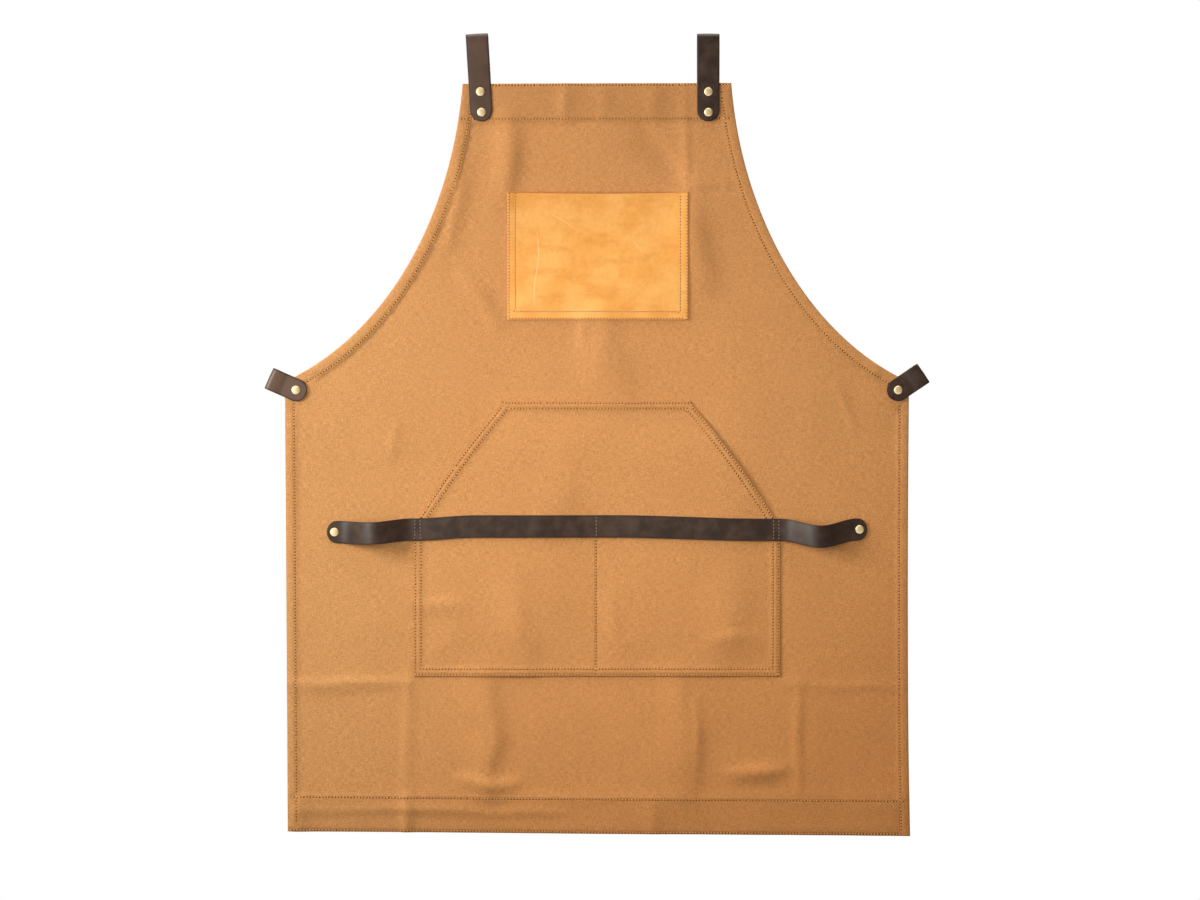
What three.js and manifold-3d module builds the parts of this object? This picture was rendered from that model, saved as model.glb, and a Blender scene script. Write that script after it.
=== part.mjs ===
// A waxed canvas bib apron with a leather chest pocket, a canvas hand pocket, a leather tool strap
// and folded leather loops. Millimetres, +Z up, front towards -Y, +X to the viewer's right.
// The origin is the point it hangs from: midway between the shoulder loops, under their folds.
import * as THREE from 'three';
import { mergeVertices } from 'three/addons/utils/BufferGeometryUtils.js';
import Module from 'manifold-3d';

const wasm = await Module();
wasm.setup();

// ---- driving dimensions ----
const fitGap = 0.3; // air left between pieces that touch
const clothThickness = 1.2;
const leatherThickness = 2.4;

const apron = { height: 838, topWidth: 300, waistWidth: 697, hemWidth: 696, waistDrop: 333 };
const armhole = { topLean: 11.4, topPull: 147.7, waistReach: 112.3, waistLift: 50.8, steps: 14 };
const hem = { top: 40, bottom: 38.6, side: 10, armhole: 12 };

const chestPocket = { x: 1, drop: 122, width: 202, height: 142, thickness: 2, stand: 7, ramp: 62 };
const handPocket = { drop: 355, topWidth: 207, width: 409, height: 307, stand: 6.8, ramp: 58 };
const mouthBow = 4; // how far the slanted hand openings bow outwards

const strapWidth = 25;
const toolStrap = { drop: 494.6, rivetInset: 55.5, endReach: 8.3, loopSlack: 1.19 };
const strapSag = [{ side: -1, end: 6.4, dip: 4.5 }, { side: 1, end: 3.4, dip: 8.1 }];

const loopEye = 7.2; // clear width inside a folded loop
const shoulderLoops = [{ name: 'left', x: -129.6, lean: -3.4 }, { name: 'right', x: 124.3, lean: 0 }];
const shoulderLoop = { rise: 55.3, upperRivet: 9.6, lowerRivet: 32.5, reach: 42.7 };
const sideLoops = [
  { name: 'left', side: -1, lift: 24, foldReach: 33 },
  { name: 'right', side: 1, lift: 34, foldReach: 34.5 },
];
const sideRivet = { inset: 12.5, drop: 9.5 }; // from the waist corner

const rivet = { capRadius: 4.8, capHeight: 1.7, shankRadius: 1.6, socketDepth: 0.8, sides: 16 };

// ---- layers, counted from the middle of the hemmed cloth ----
const clothFront = -clothThickness;
const clothBack = 0; // single cloth
const hemBack = clothThickness; // folded cloth
const legOffset = clothThickness + fitGap + leatherThickness / 2; // middle of a leather leg
const leatherFront = -(legOffset + leatherThickness / 2);
const canvasTop = leatherThickness - shoulderLoop.rise; // height of the canvas's top edge
const waistX = apron.waistWidth / 2;

// ---- materials ----
const paint = (color, roughness, metalness = 0) => ({ color, roughness, metalness });
const canvas = paint(0xd0955c, 0.9);
const tanLeather = paint(0xf0ab5c, 0.6);
const darkLeather = paint(0x51443c, 0.5);
const brass = paint(0xe0bd7a, 0.3, 1);

const group = new THREE.Group();

function addMesh(name, geometry, finish) {
  const mesh = new THREE.Mesh(geometry, new THREE.MeshStandardMaterial(finish));
  mesh.name = name;
  group.add(mesh);
  return mesh;
}

// ---- solids: closing, cutting ----
function signedVolume(geometry) {
  const p = geometry.attributes.position;
  const index = geometry.index.array;
  const [a, b, c] = [new THREE.Vector3(), new THREE.Vector3(), new THREE.Vector3()];
  let volume = 0;
  for (let i = 0; i < index.length; i += 3) {
    a.fromBufferAttribute(p, index[i]);
    b.fromBufferAttribute(p, index[i + 1]);
    c.fromBufferAttribute(p, index[i + 2]);
    volume += a.dot(b.cross(c)) / 6;
  }
  return volume;
}

// Shares the vertices of a shape's faces and turns the faces outwards.
function closed(geometry) {
  geometry.deleteAttribute('normal');
  geometry.deleteAttribute('uv');
  const merged = mergeVertices(geometry, 1e-4);
  if (signedVolume(merged) < 0) merged.index.array.reverse();
  return merged;
}

function toManifold(geometry) {
  const shape = closed(geometry);
  const vertProperties = new Float32Array(shape.attributes.position.array);
  const triVerts = new Uint32Array(shape.index.array);
  return new wasm.Manifold(new wasm.Mesh({ numProp: 3, vertProperties, triVerts }));
}

function fromManifold(solid) {
  const mesh = solid.getMesh();
  const geometry = new THREE.BufferGeometry();
  geometry.setAttribute('position', new THREE.BufferAttribute(mesh.vertProperties, 3));
  geometry.setIndex(new THREE.BufferAttribute(mesh.triVerts, 1));
  return geometry;
}

// A plate of an outline drawn in X and Z, from y = front to y = back.
function plate(shape, front, back) {
  const geometry = new THREE.ExtrudeGeometry(shape, { depth: back - front, bevelEnabled: false });
  geometry.rotateX(Math.PI / 2);
  geometry.translate(0, back, 0);
  return toManifold(geometry);
}

// Clearance holes for rivet shanks, along Y at each [x, z].
function withHoles(solid, places) {
  const reach = 80;
  for (const [x, z] of places) {
    const drill = new THREE.CylinderGeometry(rivet.shankRadius + fitGap, rivet.shankRadius + fitGap, reach, 12);
    drill.translate(x, 0, z);
    solid = solid.subtract(toManifold(drill));
  }
  return solid;
}

// ---- where the rivets sit ----
const strapRivets = strapSag.map(({ side, end }) =>
  [side * (waistX - toolStrap.rivetInset), canvasTop - toolStrap.drop - end]);
const sideRivets = sideLoops.map(({ side }) =>
  [side * (waistX - sideRivet.inset), canvasTop - apron.waistDrop - sideRivet.drop]);
const rivetMiddle = (shoulderLoop.upperRivet + shoulderLoop.lowerRivet) / 2;
const rivetPitch = shoulderLoop.lowerRivet - shoulderLoop.upperRivet;

function shoulderRivet({ x, lean }, end) {
  const angle = THREE.MathUtils.degToRad(lean);
  const along = (end * rivetPitch) / 2;
  return [x + along * Math.sin(angle), canvasTop - rivetMiddle + along * Math.cos(angle)];
}
const shoulderRivets = shoulderLoops.flatMap((loop) => [shoulderRivet(loop, 1), shoulderRivet(loop, -1)]);

// ---- main panel: one cloth with its edges folded to the back ----
const armholeCurve = new THREE.CubicBezierCurve(
  new THREE.Vector2(apron.topWidth / 2, 0),
  new THREE.Vector2(apron.topWidth / 2 + armhole.topLean, -armhole.topPull),
  new THREE.Vector2(waistX - armhole.waistReach, armhole.waistLift - apron.waistDrop),
  new THREE.Vector2(waistX, -apron.waistDrop),
);

function panelShape(inset, bottomZ, bottomX) {
  const right = [];
  for (let i = 0; i <= armhole.steps; i += 1) {
    const t = i / armhole.steps;
    const point = armholeCurve.getPoint(t);
    const along = armholeCurve.getTangent(t);
    right.push(new THREE.Vector2(point.x + along.y * inset, point.y - along.x * inset));
  }
  right.push(new THREE.Vector2(bottomX, bottomZ));
  const left = right.map((p) => new THREE.Vector2(-p.x, p.y)).reverse();
  return new THREE.Shape([...right, ...left].map((p) => new THREE.Vector2(p.x, p.y + canvasTop)));
}

function rectangle(halfWidth, top, bottom) {
  const corners = [[-halfWidth, top], [halfWidth, top], [halfWidth, bottom], [-halfWidth, bottom]];
  return new THREE.Shape(corners.map(([x, z]) => new THREE.Vector2(x, z)));
}

function mainPanel() {
  const folded = plate(panelShape(0, -apron.height, apron.hemWidth / 2), clothFront, hemBack);
  const insideEdge = plate(panelShape(hem.armhole, -apron.height, waistX), clothBack, 2 * hemBack);
  const band = rectangle(waistX - hem.side, canvasTop - hem.top, canvasTop - apron.height + hem.bottom);
  const single = insideEdge.intersect(plate(band, clothBack, 2 * hemBack));
  const holes = [...strapRivets, ...sideRivets, ...shoulderRivets];
  return fromManifold(withHoles(folded.subtract(single), holes));
}
addMesh('main_panel', mainPanel(), canvas);

// ---- pockets: sheets sewn down along lines and standing off the panel between them ----
function distanceToSegment(x, z, [x0, z0, x1, z1]) {
  const [dx, dz] = [x1 - x0, z1 - z0];
  const t = THREE.MathUtils.clamp(((x - x0) * dx + (z - z0) * dz) / (dx * dx + dz * dz), 0, 1);
  return Math.hypot(x - x0 - t * dx, z - z0 - t * dz);
}

function standOff(seams, { stand, ramp }) {
  return (x, z) => {
    const nearest = Math.min(...seams.map((seam) => distanceToSegment(x, z, seam)));
    return stand * THREE.MathUtils.smoothstep(nearest, 0, ramp);
  };
}

// columns and rows are fractions, of the half width and of the height.
function sewnSheet({ x, top, height, halfWidthAt, thickness, lift, columns, rows }) {
  const across = [...columns.slice(1).reverse().map((c) => -c), ...columns];
  const geometry = new THREE.BoxGeometry(1, 1, 1, across.length - 1, 1, rows.length - 1);
  const p = geometry.attributes.position;
  for (let i = 0; i < p.count; i += 1) {
    const column = across[Math.round((p.getX(i) + 0.5) * (across.length - 1))];
    const row = rows[Math.round((0.5 - p.getZ(i)) * (rows.length - 1))];
    const z = top - row * height;
    const px = x + column * halfWidthAt(row * height);
    const back = clothFront - fitGap - lift(px, z);
    p.setXYZ(i, px, p.getY(i) < 0 ? back - thickness : back, z);
  }
  return closed(geometry);
}

const chestTop = canvasTop - chestPocket.drop;
const chestBottom = chestTop - chestPocket.height;
const chestSides = [-1, 1].map((side) => chestPocket.x + (side * chestPocket.width) / 2);
const chestLift = standOff([
  [chestSides[0], chestTop, chestSides[0], chestBottom],
  [chestSides[0], chestBottom, chestSides[1], chestBottom],
  [chestSides[1], chestTop, chestSides[1], chestBottom],
], chestPocket);
addMesh('chest_pocket', sewnSheet({
  x: chestPocket.x,
  top: chestTop,
  height: chestPocket.height,
  halfWidthAt: () => chestPocket.width / 2,
  thickness: chestPocket.thickness,
  lift: chestLift,
  columns: [0, 0.3, 0.45, 0.6, 0.75, 0.88, 0.95, 1],
  rows: [0, 0.2, 0.4, 0.55, 0.7, 0.82, 0.93, 1],
}), tanLeather);

const handTop = canvasTop - handPocket.drop;
const handBottom = handTop - handPocket.height;
const strapZ = canvasTop - toolStrap.drop;
const handHalf = handPocket.width / 2;
const handTopHalf = handPocket.topWidth / 2;
const mouthHeight = toolStrap.drop - handPocket.drop; // the slanted openings end behind the strap
const handLift = standOff([
  [-handTopHalf, handTop, handTopHalf, handTop],
  [-handHalf, strapZ, -handHalf, handBottom],
  [handHalf, strapZ, handHalf, handBottom],
  [-handHalf, handBottom, handHalf, handBottom],
  [0, strapZ, 0, handBottom],
], handPocket);

function handHalfWidthAt(drop) {
  const t = Math.min(drop / mouthHeight, 1);
  return handTopHalf + (handHalf - handTopHalf) * t + mouthBow * Math.sin(Math.PI * t);
}
const mouthShare = mouthHeight / handPocket.height;
addMesh('hand_pocket', sewnSheet({
  x: 0,
  top: handTop,
  height: handPocket.height,
  halfWidthAt: handHalfWidthAt,
  thickness: clothThickness,
  lift: handLift,
  columns: [0, 0.06, 0.13, 0.2, 0.3, 0.5, 0.7, 0.8, 0.87, 0.94, 1],
  rows: [
    ...[0, 0.08, 0.2, 0.35, 0.5, 0.65, 0.8, 0.92].map((r) => r * mouthShare),
    ...[0, 0.12, 0.3, 0.5, 0.7, 0.85, 0.95, 1].map((r) => mouthShare + r * (1 - mouthShare)),
  ],
}), canvas);

// ---- leather strips: a flat strip bent along a path, with rounded ends ----
// path: points [depth, along]; the strip's width lies across them, on X.
const endAngles = [0.28, 0.6, 0.95, 1.3];

function roundedStations(length, radius) {
  const near = endAngles.map((angle) => radius * (1 - Math.cos(angle)));
  return [...near, radius, length - radius, ...near.map((s) => length - s).reverse()];
}

function halfWidthNearEnd(distance, radius) {
  if (distance >= radius) return strapWidth / 2;
  return (strapWidth / 2) * Math.sqrt(1 - ((radius - distance) / radius) ** 2);
}

function strip(points, radius) {
  const lengths = [0];
  for (let i = 1; i < points.length; i += 1) {
    lengths.push(lengths[i - 1] + points[i].distanceTo(points[i - 1]));
  }
  const total = lengths.at(-1);
  const stations = [...lengths.slice(1, -1).filter((s) => s > radius && s < total - radius)];
  stations.push(...roundedStations(total, radius));
  stations.sort((a, b) => a - b);
  const spots = stations.map((s) => {
    let i = lengths.findIndex((v) => v >= s - 1e-9);
    i = Math.max(i, 1);
    const t = (s - lengths[i - 1]) / (lengths[i] - lengths[i - 1]);
    return points[i - 1].clone().lerp(points[i], t);
  });
  const geometry = new THREE.BoxGeometry(1, 1, 1, 1, 1, stations.length - 1);
  const p = geometry.attributes.position;
  for (let i = 0; i < p.count; i += 1) {
    const k = Math.round((p.getZ(i) + 0.5) * (stations.length - 1));
    const ahead = spots[Math.min(k + 1, spots.length - 1)].clone().sub(spots[k]).normalize();
    const behind = spots[k].clone().sub(spots[Math.max(k - 1, 0)]).normalize();
    const along = ahead.add(behind).normalize();
    const bend = k > 0 && k < spots.length - 1 ? along.dot(behind) : 1;
    const offset = (Math.sign(p.getY(i)) * leatherThickness) / 2 / bend;
    const half = halfWidthNearEnd(Math.min(stations[k], total - stations[k]), radius);
    p.setXYZ(i, Math.sign(p.getX(i)) * half, spots[k].x + along.y * offset, spots[k].y - along.x * offset);
  }
  return geometry;
}

// A strip folded over the cloth's edge: both legs lie flat, then spread into an eye under the fold.
// start and edge are where the legs begin and leave the cloth; fold is the outside of the fold.
function foldedLoop({ start, edge, fold, flat }) {
  const half = (loopEye + leatherThickness) / 2;
  const turn = half - flat / 2;
  const shoulder = fold - leatherThickness / 2 - turn;
  const spread = new THREE.CubicBezierCurve(
    new THREE.Vector2(-legOffset, edge),
    new THREE.Vector2(-legOffset, edge + (shoulder - edge) * 0.35),
    new THREE.Vector2(-half, edge + (shoulder - edge) * 0.25),
    new THREE.Vector2(-half, shoulder),
  );
  const front = [new THREE.Vector2(-legOffset, start), ...spread.getPoints(6)];
  for (let i = 1; i <= 4; i += 1) {
    const angle = (i / 4) * (Math.PI / 2);
    front.push(new THREE.Vector2(
      -flat / 2 - turn * Math.cos(angle),
      shoulder + turn * Math.sin(angle),
    ));
  }
  const back = front.map((p) => new THREE.Vector2(-p.x, p.y)).reverse();
  return strip([...front, ...back], strapWidth / 2);
}
const foldFlat = 2.4; // flat stretch at the very top of a fold

for (const loop of shoulderLoops) {
  const geometry = foldedLoop({
    start: rivetMiddle - shoulderLoop.reach,
    edge: rivetMiddle + fitGap,
    fold: rivetMiddle + shoulderLoop.rise,
    flat: foldFlat,
  });
  const holes = [[0, rivetPitch / 2], [0, -rivetPitch / 2]];
  const solid = withHoles(toManifold(geometry), holes);
  const mesh = addMesh(`shoulder_loop_${loop.name}`, fromManifold(solid), darkLeather);
  mesh.position.set(loop.x, 0, canvasTop - rivetMiddle);
  mesh.rotation.y = THREE.MathUtils.degToRad(loop.lean);
}

sideLoops.forEach((loop, i) => {
  const geometry = foldedLoop({
    start: -strapWidth / 2,
    edge: sideRivet.inset + fitGap,
    fold: loop.foldReach,
    flat: foldFlat,
  });
  const solid = withHoles(toManifold(geometry), [[0, 0]]);
  const mesh = addMesh(`side_loop_${loop.name}`, fromManifold(solid), darkLeather);
  mesh.position.set(sideRivets[i][0], 0, sideRivets[i][1]);
  mesh.rotation.y = THREE.MathUtils.degToRad(loop.side * (90 - loop.lift));
});

// ---- tool strap: over the hand pocket, with a standing hammer loop at each side ----
const strapRivetX = waistX - toolStrap.rivetInset;
const strapEnd = strapRivetX + toolStrap.endReach;
const loopOuter = strapRivetX - rivet.capRadius - 1; // the loop starts beside its rivet
const loopInner = handHalf + 2; // and ends beside the pocket
const loopSpan = loopOuter - loopInner;
const loopStand = ((2 * loopSpan) / Math.PI) * Math.sqrt(toolStrap.loopSlack - 1);
const overPocket = clothThickness + 2 * fitGap;

function strapDepth(x) {
  const reach = Math.abs(x);
  const t = THREE.MathUtils.clamp((reach - loopInner) / loopSpan, 0, 1);
  if (reach > loopInner) {
    return legOffset + overPocket * (1 - t) + loopStand * Math.sin(Math.PI * t) ** 2;
  }
  let lift = 0;
  for (const dz of [-0.6, -0.3, 0, 0.3, 0.6]) {
    for (const dx of [-5, 0, 5]) lift = Math.max(lift, handLift(x + dx, strapZ + dz * strapWidth));
  }
  return legOffset + overPocket + lift;
}

function strapDrop(x) {
  const { end, dip } = strapSag.find(({ side }) => side * x >= 0);
  const t = THREE.MathUtils.clamp((Math.abs(x) - handHalf) / (strapRivetX - handHalf), 0, 1);
  return end * THREE.MathUtils.smoothstep(t, 0, 1) + dip * Math.sin(Math.PI * t) ** 2;
}

function strapGeometry() {
  const pocketSteps = 30;
  const loopSteps = 14;
  const xs = [];
  for (let i = 0; i <= loopSteps; i += 1) xs.push(loopOuter - (loopSpan * i) / loopSteps);
  for (let i = 1; i < pocketSteps / 2; i += 1) xs.push(loopInner * (1 - (2 * i) / pocketSteps));
  const all = [strapEnd, ...xs, 0, ...xs.map((x) => -x).reverse(), -strapEnd];
  const points = all.map((x) => new THREE.Vector2(strapDepth(x), x));
  const geometry = strip(points, toolStrap.endReach * 1.2);
  const p = geometry.attributes.position;
  for (let i = 0; i < p.count; i += 1) {
    const x = p.getZ(i);
    p.setXYZ(i, x, -p.getY(i), strapZ - strapDrop(x) + p.getX(i));
  }
  return geometry;
}
addMesh('tool_strap', fromManifold(withHoles(toManifold(strapGeometry()), strapRivets)), darkLeather);

// ---- rivets: a domed cap in front, and a post with a domed foot behind ----
function dome(radius, height, start) {
  const profile = [...start, [radius * 0.94, 0], [radius, height * 0.25], [radius * 0.93, height * 0.55]];
  profile.push([radius * 0.7, height * 0.82], [radius * 0.38, height * 0.96], [0, height]);
  const points = profile.map(([r, h]) => new THREE.Vector2(r, h));
  return closed(new THREE.LatheGeometry(points, rivet.sides));
}

function addRivet(name, [x, z], front, back) {
  const seat = front - fitGap;
  const foot = back + fitGap;
  const socket = rivet.shankRadius + fitGap;
  const cap = dome(rivet.capRadius, rivet.capHeight, [[0, rivet.socketDepth], [socket, rivet.socketDepth], [socket, 0]]);
  const capMesh = addMesh(`rivet_cap_${name}`, cap, brass);
  capMesh.position.set(x, seat, z);
  capMesh.rotation.x = Math.PI;
  const shank = foot - seat + rivet.socketDepth - fitGap;
  const post = dome(rivet.capRadius, rivet.capHeight, [[0, -shank], [rivet.shankRadius, -shank], [rivet.shankRadius, 0]]);
  addMesh(`rivet_post_${name}`, post, brass).position.set(x, foot, z);
}

shoulderLoops.forEach(({ name }, i) => {
  addRivet(`shoulder_${name}_upper`, shoulderRivets[2 * i], leatherFront, -leatherFront);
  addRivet(`shoulder_${name}_lower`, shoulderRivets[2 * i + 1], leatherFront, -leatherFront);
});
sideLoops.forEach(({ name }, i) => addRivet(`side_${name}`, sideRivets[i], leatherFront, -leatherFront));
['left', 'right'].forEach((name, i) => addRivet(`strap_${name}`, strapRivets[i], leatherFront, clothBack));

export default group;
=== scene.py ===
import math

import bpy
import numpy as np
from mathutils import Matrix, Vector
from mathutils.geometry import delaunay_2d_cdt


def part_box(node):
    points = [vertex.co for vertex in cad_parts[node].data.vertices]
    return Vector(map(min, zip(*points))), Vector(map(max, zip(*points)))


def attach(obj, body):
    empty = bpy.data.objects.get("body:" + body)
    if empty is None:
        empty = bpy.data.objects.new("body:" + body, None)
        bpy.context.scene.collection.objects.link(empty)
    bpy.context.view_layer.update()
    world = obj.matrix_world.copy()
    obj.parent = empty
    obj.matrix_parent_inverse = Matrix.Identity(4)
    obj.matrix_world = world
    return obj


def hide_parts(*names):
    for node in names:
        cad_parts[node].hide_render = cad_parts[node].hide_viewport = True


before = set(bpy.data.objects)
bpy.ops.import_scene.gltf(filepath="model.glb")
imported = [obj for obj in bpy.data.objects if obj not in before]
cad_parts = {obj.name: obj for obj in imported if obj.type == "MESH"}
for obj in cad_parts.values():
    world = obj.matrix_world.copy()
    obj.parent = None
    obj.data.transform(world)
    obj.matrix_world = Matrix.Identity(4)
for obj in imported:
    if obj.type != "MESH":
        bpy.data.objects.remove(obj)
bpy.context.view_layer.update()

scene = bpy.context.scene
apronBody = "apron"
metre = 0.001  # sizes are in millimetres until they become a mesh, except the lamps


def boxOf(node):
    low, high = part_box(node)
    return np.array(low) / metre, np.array(high) / metre


def middleOf(node):
    low, high = boxOf(node)
    return (low + high) / 2


panelLow, panelHigh = boxOf("main_panel")
topZ = panelHigh[2]  # the cloth's top edge
waistX = panelHigh[0]
clothThick = 1.2
leatherThick = 2.4
rivetNames = [n[len("rivet_cap_"):] for n in sorted(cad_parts) if n.startswith("rivet_cap_")]
rivetSpots = {name: middleOf("rivet_cap_" + name)[[0, 2]] for name in rivetNames}


# camera and light
cameraSet = {"lens": 85, "sensor": 36, "frameWidth": 1340.4, "aimX": 3.4, "aimDrop": 409.4}
lampSet = {  # places in metres from the middle of the apron
    "key": {"at": (0.0, -0.68, -0.03), "size": 0.4, "power": 2.55,
        "tint": (1.0, 0.99, 0.97), "lights": "cloth"},
    "rake": {"at": (-1.6, -0.97, 0.52), "size": 0.8, "power": 34,
        "tint": (1.0, 0.96, 0.91), "lights": "all"},
    "softbox": {"at": (-1.5, -1.9, 0.35), "size": 1.8, "power": 13,
        "tint": (1.0, 0.98, 0.95), "lights": "gloss"},
    "back": {"at": (0.5, 1.9, 0.6), "size": 1.2, "power": 34,
        "tint": (1.0, 1.0, 1.0), "lights": "all"},
    "above": {"at": (0.0, 0.0, 5.0), "size": 5.0, "power": 290,
        "tint": (1.0, 0.98, 0.95), "lights": "all"},
}
worldSet = {"seen": (1.0, 1.0, 1.0), "light": (0.165, 0.142, 0.118)}


def makeCamera():
    data = bpy.data.cameras.new("camera")
    data.lens = cameraSet["lens"]
    data.sensor_width = cameraSet["sensor"]
    camera = bpy.data.objects.new("camera", data)
    distance = cameraSet["frameWidth"] * data.lens / data.sensor_width
    camera.location = Vector((cameraSet["aimX"], -distance, topZ - cameraSet["aimDrop"])) * metre
    camera.rotation_euler = (math.pi / 2, 0, 0)
    data.clip_end = 50
    scene.collection.objects.link(camera)
    scene.camera = camera


def makeLights():
    target = Vector((0, 0, topZ - cameraSet["aimDrop"])) * metre
    for name, light in lampSet.items():
        data = bpy.data.lights.new(name, "AREA")
        data.size = light["size"]
        data.energy = light["power"]
        data.color = light["tint"]
        lamp = bpy.data.objects.new(name, data)
        lamp.location = Vector(light["at"]) + target
        lamp.rotation_euler = (target - lamp.location).to_track_quat("-Z", "Y").to_euler()
        lamp.visible_camera = False
        lamp.visible_glossy = light["lights"] != "cloth"
        lamp.visible_diffuse = light["lights"] != "gloss"
        scene.collection.objects.link(lamp)
    world = bpy.data.worlds.new("studio")
    scene.world = world
    world.use_nodes = True
    tree = world.node_tree
    tree.nodes.clear()
    path = tree.nodes.new("ShaderNodeLightPath")
    seen = tree.nodes.new("ShaderNodeBackground")
    seen.inputs["Color"].default_value = (*worldSet["seen"], 1)
    lit = tree.nodes.new("ShaderNodeBackground")
    lit.inputs["Color"].default_value = (*worldSet["light"], 1)
    mix = tree.nodes.new("ShaderNodeMixShader")
    output = tree.nodes.new("ShaderNodeOutputWorld")
    tree.links.new(path.outputs["Is Camera Ray"], mix.inputs[0])
    tree.links.new(lit.outputs[0], mix.inputs[1])
    tree.links.new(seen.outputs[0], mix.inputs[2])
    tree.links.new(mix.outputs[0], output.inputs[0])
    scene.view_settings.view_transform = "Standard"


makeCamera()
makeLights()
print("camera and lights ready")


# shader sums
class Wire:  # a shader socket that can stand in a sum
    def __init__(self, finish, socket):
        self.finish = finish
        self.socket = socket

    def __add__(self, other):
        return self.finish.math("ADD", self, other)

    def __sub__(self, other):
        return self.finish.math("SUBTRACT", self, other)

    def __rsub__(self, other):
        return self.finish.math("SUBTRACT", other, self)

    def __mul__(self, other):
        return self.finish.math("MULTIPLY", self, other)

    def __truediv__(self, other):
        return self.finish.math("DIVIDE", self, other)

    __radd__ = __add__
    __rmul__ = __mul__


class Finish:  # one material and the nodes that make it
    def __init__(self, name):
        self.material = bpy.data.materials.new(name)
        self.material.use_nodes = True
        self.tree = self.material.node_tree
        self.tree.nodes.clear()

    def add(self, kind, settings=None, sockets=None):
        node = self.tree.nodes.new(kind)
        for key, value in (settings or {}).items():
            setattr(node, key, value)
        for key, value in (sockets or {}).items():
            if isinstance(value, Wire):
                self.tree.links.new(value.socket, node.inputs[key])
            else:
                node.inputs[key].default_value = value
        return node

    def wire(self, node, output=0):
        return Wire(self, node.outputs[output])

    def math(self, operation, *values):
        settings = {"operation": operation}
        return self.wire(self.add("ShaderNodeMath", settings, dict(enumerate(values))))

    def clamp(self, value):
        return self.wire(self.add("ShaderNodeClamp", None, {"Value": value}))

    def step(self, value, low, high):  # 0 below low, 1 above high
        sockets = {"Value": value, "From Min": low, "From Max": high}
        return self.wire(self.add("ShaderNodeMapRange", {"interpolation_type": "SMOOTHSTEP"}, sockets))

    def place(self):  # where the point is, in millimetres
        spot = self.wire(self.add("ShaderNodeTexCoord"), "Object")
        return self.stretch(spot, (1000, 1000, 1000))

    def stretch(self, vector, scale):
        return self.wire(self.add("ShaderNodeVectorMath", {"operation": "MULTIPLY"}, {0: vector, 1: scale}))

    def axes(self, vector):
        node = self.add("ShaderNodeSeparateXYZ", None, {0: vector})
        return [self.wire(node, i) for i in range(3)]

    def noise(self, vector, size, detail=2.0, rough=0.5):
        sockets = {"Vector": vector, "Scale": 1 / size, "Detail": detail, "Roughness": rough}
        return self.wire(self.add("ShaderNodeTexNoise", None, sockets), "Fac")

    def pebbles(self, vector, size):  # the soft pebbles of a leather grain, 1 on their tops
        sockets = {"Vector": vector, "Scale": 1 / size, "Smoothness": 0.6}
        return 1 - self.wire(self.add("ShaderNodeTexVoronoi", {"feature": "SMOOTH_F1"}, sockets))

    def mix(self, factor, first, second, how="MIX"):
        settings = {"data_type": "RGBA", "blend_type": how}
        sockets = {0: factor, 6: colourOf(first), 7: colourOf(second)}
        return self.wire(self.add("ShaderNodeMix", settings, sockets), 2)

    def tone(self, colour, value):  # the colour made lighter or darker
        grey = self.add("ShaderNodeCombineColor", None, {0: value, 1: value, 2: value})
        return self.mix(1.0, colour, self.wire(grey), "MULTIPLY")

    def attribute(self, name):
        return self.wire(self.add("ShaderNodeAttribute", {"attribute_name": name}), "Fac")

    def bump(self, height, depth, strength=1.0):
        sockets = {"Height": height, "Distance": depth * metre, "Strength": strength}
        return self.wire(self.add("ShaderNodeBump", None, sockets))

    def close(self, sockets):
        shader = self.add("ShaderNodeBsdfPrincipled", None, sockets)
        self.add("ShaderNodeOutputMaterial", None, {"Surface": self.wire(shader)})
        return self.material


def colourOf(value):
    return value if isinstance(value, Wire) else (*value[:3], 1.0)


canvasLook = {
    "light": (0.70, 0.338, 0.119), "dark": (0.47, 0.203, 0.063),
    # deep: the painted shade tint of the lower right
    # pale: the painted sheen tint of the left
    "deep": (0.96, 0.88, 0.77), "pale": (1.0, 1.06, 1.10),
    "yarn": 1.05, "streak": 0.9, "slub": 6.0, "depth": 0.35, "cloud": 60, "fuzz": 0.72,
}


def canvasFinish():
    f = Finish("waxed_canvas")
    spot = f.place()
    x, _, z = f.axes(spot)
    pitch = math.pi / canvasLook["yarn"]
    weave = f.math("SINE", x * pitch) * f.math("SINE", z * pitch)
    thin, long = 1 / canvasLook["streak"], 1 / canvasLook["slub"]
    warp = f.noise(f.stretch(spot, (thin, 0, long)), 1, 1)
    weft = f.noise(f.stretch(spot, (long, 0, thin)), 1, 1)
    cloud = f.noise(spot, canvasLook["cloud"], 4, 0.6)
    fuzz = f.noise(spot, canvasLook["fuzz"], 1, 0.6)
    # painted shade from the mesh: darker beside the sewn grooves and at the hem bands
    worn = f.attribute("worn")
    shade = cloud * 0.3 + (warp + weft) * 1.6 + fuzz * 3.6 - 3.05
    base = f.mix(f.clamp(shade), canvasLook["dark"], canvasLook["light"])
    shadedLowerRight = f.step(x * 0.45 - z, 500, 1050)  # painted shade: the lower right is darker, where the lamps' light falls off
    paintedSheenLeft = f.step(0 - x, 60, 330)  # painted sheen: the left is paler and less saturated, where the lamps' light and sheen fall strongest
    base = f.mix(shadedLowerRight, base, f.mix(1.0, base, canvasLook["deep"], "MULTIPLY"))
    base = f.mix(paintedSheenLeft, base, f.mix(1.0, base, canvasLook["pale"], "MULTIPLY"))
    base = f.tone(base, weave * 0.08 + worn * -0.34 + 1.0)
    height = weave * 0.5 + (warp + weft) * 0.8 + fuzz * 0.7
    return f.close({
        "Base Color": base,
        "Roughness": f.clamp(fuzz * 0.2 + 0.72),
        "Specular IOR Level": 0.25,
        "Sheen Weight": 0.12,
        "Sheen Roughness": 0.5,
        "Normal": f.bump(height, canvasLook["depth"], 0.55),
    })


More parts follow.
